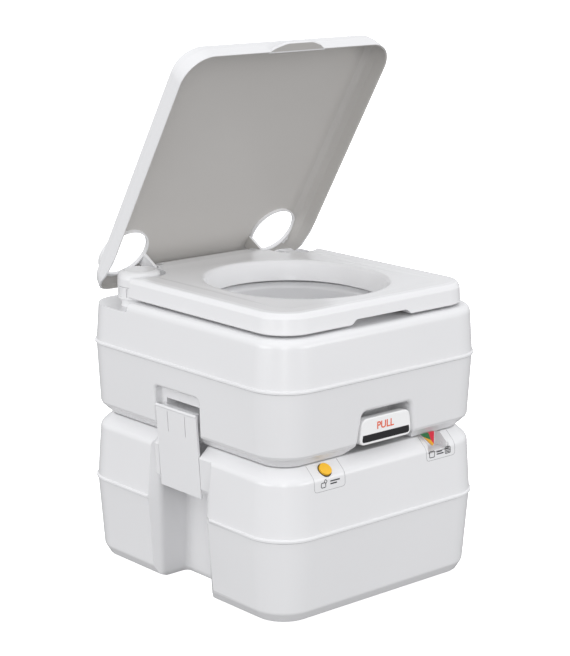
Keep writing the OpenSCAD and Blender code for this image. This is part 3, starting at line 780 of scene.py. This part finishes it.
def build_gauge_wedge():
    """The triangular gauge flag: green over yellow on the left, red on the right."""
    front = -196.5
    pieces = (
        ("gauge_wedge_red", [(95.0, 210.5), (84.5, 210.5), (89.5, 199.5), (95.0, 193.0)], gauge_red),
        ("gauge_wedge_green", [(84.5, 210.5), (71.5, 210.5), (76.8, 205.6), (89.5, 199.5)], gauge_green),
        ("gauge_wedge_yellow", [(89.5, 199.5), (76.8, 205.6), (92.9, 191.0), (95.0, 193.0)], gauge_yellow))
    for index, (name, outline, material) in enumerate(pieces):
        plate = extruded(name, outline, plain_front, front, front + 3)
        finish_piece(plate, material, "gauge_body", ["gauge_flag"] if index == 0 else ())


build_button_rim()
build_gauge_wedge()

# ---- labels on the shoulder ----


def ribbon(name, points, width, material, closed=False):
    """A printed line on the front of the waste tank, drawn through (x, z) points."""
    fine = []
    ends = points + points[:1] if closed else points
    for a, b in zip(ends, ends[1:]):
        count = max(1, int((Vector(b) - Vector(a)).length / 1.2))
        fine += [tuple(Vector(a).lerp(Vector(b), i / count)) for i in range(count)]
    if not closed:
        fine.append(points[-1])
    proud = 0.12
    thickness = 0.3
    place = front_of(waste_path, proud)
    rows = []
    for i, point in enumerate(fine):
        before = fine[i - 1] if i or closed else fine[0]
        after = fine[(i + 1) % len(fine)] if closed or i + 1 < len(fine) else fine[-1]
        along = (Vector(after) - Vector(before)).normalized()
        across = Vector((along.y, -along.x)) * width / 2
        left, right = Vector(point) + across, Vector(point) - across
        rows.append([place(left.x, left.y, 0), place(right.x, right.y, 0),
                     place(right.x, right.y, thickness), place(left.x, left.y, thickness)])
    line = loft(name, rows, closed=closed)
    finish_piece(line, material, "waste_body")


def build_labels():
    for name, left, right, low in (("air_label", -124, -72, 173), ("gauge_label", 74, 127, 174.5)):
        outline = rounded_path([(left, 204.6, 0), (left, low, 5), (right, low, 5), (right, 204.6, 0)])
        ribbon(name + "_outline", outline, 0.55, print_line)
    for i, (low_x, high_x, z) in enumerate(((-97, -81, 183.6), (-97, -86, 180.2))):
        ribbon(f"air_label_bar_{i + 1}", [(low_x, z), (high_x, z)], 1.7, print_dark)
    ribbon("air_label_hand", rectangle(-112.5, 177.5, -105, 183.5, 2), 1.0, print_dark, closed=True)
    ribbon("air_label_finger", rounded_path([(-107.5, 183.5, 0), (-106, 187.5, 1.5), (-102, 185.5, 1.5),
                                             (-105, 181.5, 0)]), 0.9, print_dark)
    ribbon("gauge_label_empty", rectangle(79.7, 178.3, 88.9, 186.4, 1.5), 1.0, print_dark, closed=True)
    for i, (low_x, high_x, z) in enumerate(((93, 103, 184), (92.8, 105.8, 181))):
        ribbon(f"gauge_label_bar_{i + 1}", [(low_x, z), (high_x, z)], 1.6, print_dark)
    ribbon("gauge_label_full", rectangle(108.9, 178.7, 118.7, 187.2, 1.5), 1.0, print_dark, closed=True)
    for i in range(3):
        ribbon(f"gauge_label_level_{i + 1}", [(110, 180.6 + 2.1 * i), (117.6, 180.6 + 2.1 * i)], 1.2,
               print_dark)


build_labels()

# ---- CAD nodes that keep their own shape ----


def dress(node, material, edge):
    """Gives a CAD node its finish and takes the sharpness off its edges."""
    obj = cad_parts[node]
    obj.data.materials.clear()
    obj.data.materials.append(material)
    weld = obj.modifiers.new("weld", "WELD")
    weld.merge_threshold = 0.01 * MM
    bevel = obj.modifiers.new("soft edges", "BEVEL")
    bevel.width = edge * MM
    bevel.segments = 3
    bevel.limit_method = "ANGLE"
    bevel.angle_limit = math.radians(35)
    normals = obj.modifiers.new("flat faces stay flat", "WEIGHTED_NORMAL")
    normals.keep_sharp = False
    for polygon in obj.data.polygons:
        polygon.use_smooth = True


for name, material, edge in (
        ("valve_base", inner_grey, 0.4), ("valve_cover", inner_grey, 0.4),
        ("valve_blade", blade_black, 0.4), ("valve_lip_seal", seal_black, 0.4),
        ("air_release_button", button_yellow, 0.8), ("air_release_spring", steel, 0.2),
        ("gauge_housing", part_white, 0.5), ("pump_button", part_white, 1.0),
        ("pump_bellows", seal_black, 0.3), ("pump_pipe", inner_grey, 0.3),
        ("filler_cap", part_white, 1.2), ("hinge_pins", steel, 0.3), ("seat_bumpers", bumper_grey, 0.4),
        ("left_latch", part_white, 0.6), ("right_latch", part_white, 0.6),
        ("left_latch_pin", steel, 0.3), ("right_latch_pin", steel, 0.3),
        ("spout_swivel_ring", inner_grey, 0.5), ("pour_spout", part_white, 0.8),
        ("spout_cap", inner_grey, 0.8)):
    dress(name, material, edge)

# ---- stage, light and camera ----


def area_light(name, place, target, size, power):
    """A soft white lamp at a place in metres, turned towards a target."""
    light = bpy.data.lights.new(name, "AREA")
    light.shape = "RECTANGLE"
    light.size, light.size_y = size
    light.energy = power
    lamp = bpy.data.objects.new(name, light)
    lamp.location = place
    lamp.rotation_euler = (Vector(target) - Vector(place)).to_track_quat("-Z", "Y").to_euler()
    bpy.context.scene.collection.objects.link(lamp)


def build_stage():
    """A pale floor, kept out of reflections and bounced light, and a studio that is bright from above."""
    build_floor()
    build_world()


def build_floor():
    floor_mesh = bmesh.new()
    bmesh.ops.create_grid(floor_mesh, x_segments=1, y_segments=1, size=40)
    floor = to_object("floor", floor_mesh)
    finish = bpy.data.materials.new("floor_white")
    finish.use_nodes = True
    shader = finish.node_tree.nodes["Principled BSDF"]
    shader.inputs["Base Color"].default_value = (0.92, 0.92, 0.92, 1)
    shader.inputs["Roughness"].default_value = 0.9
    shader.inputs["Emission Color"].default_value = (1, 1, 1, 1)
    shader.inputs["Emission Strength"].default_value = 0.9
    floor.data.materials.append(finish)
    floor.visible_diffuse = False
    floor.visible_glossy = False


def build_world():
    """Bright overhead and at eye level, dim below."""
    world = bpy.data.worlds.new("studio")
    bpy.context.scene.world = world
    world.use_nodes = True
    nodes, links = world.node_tree.nodes, world.node_tree.links
    place = nodes.new("ShaderNodeTexCoord")
    split = nodes.new("ShaderNodeSeparateXYZ")
    ramp = nodes.new("ShaderNodeValToRGB")
    ramp.color_ramp.elements[0].position = 0.42
    ramp.color_ramp.elements[1].position = 0.62
    ramp.color_ramp.elements[0].color = (0.26, 0.26, 0.265, 1)
    ramp.color_ramp.elements[1].color = (0.95, 0.955, 0.97, 1)
    shift = nodes.new("ShaderNodeMath")
    shift.operation = "MULTIPLY_ADD"
    shift.inputs[1].default_value = 0.5
    shift.inputs[2].default_value = 0.5
    links.new(place.outputs["Generated"], split.inputs["Vector"])
    links.new(split.outputs["Z"], shift.inputs[0])
    links.new(shift.outputs["Value"], ramp.inputs["Fac"])
    links.new(ramp.outputs["Color"], nodes["Background"].inputs["Color"])


def build_camera():
    """The camera stands at the front left, a little above the seat."""
    place = Vector((-1.65046, -1.89101, 0.92184))
    right = Vector((0.7524, -0.6587, 0.0037)).normalized()
    back = Vector((-0.6411, -0.7323, 0.2297)).normalized()
    up = back.cross(right).normalized()
    right = up.cross(back).normalized()
    camera = bpy.data.objects.new("camera", bpy.data.cameras.new("camera"))
    bpy.context.scene.collection.objects.link(camera)
    camera.data.lens = 105.0
    turn = Matrix((right, up, back)).transposed().to_4x4()
    camera.matrix_world = Matrix.Translation(place) @ turn
    bpy.context.scene.camera = camera


build_stage()
area_light("corner", (-2.6, -3.0, 1.2), (0, 0, 0.25), (0.8, 2.4), 25)
area_light("low_front", (1.2, -3.2, 0.7), (0, 0, 0.15), (2.4, 1.0), 30)
area_light("low_left", (-3.4, 0.3, 0.7), (0, 0, 0.15), (2.4, 1.0), 33)

build_camera()
bpy.context.scene.view_settings.view_transform = "Standard"
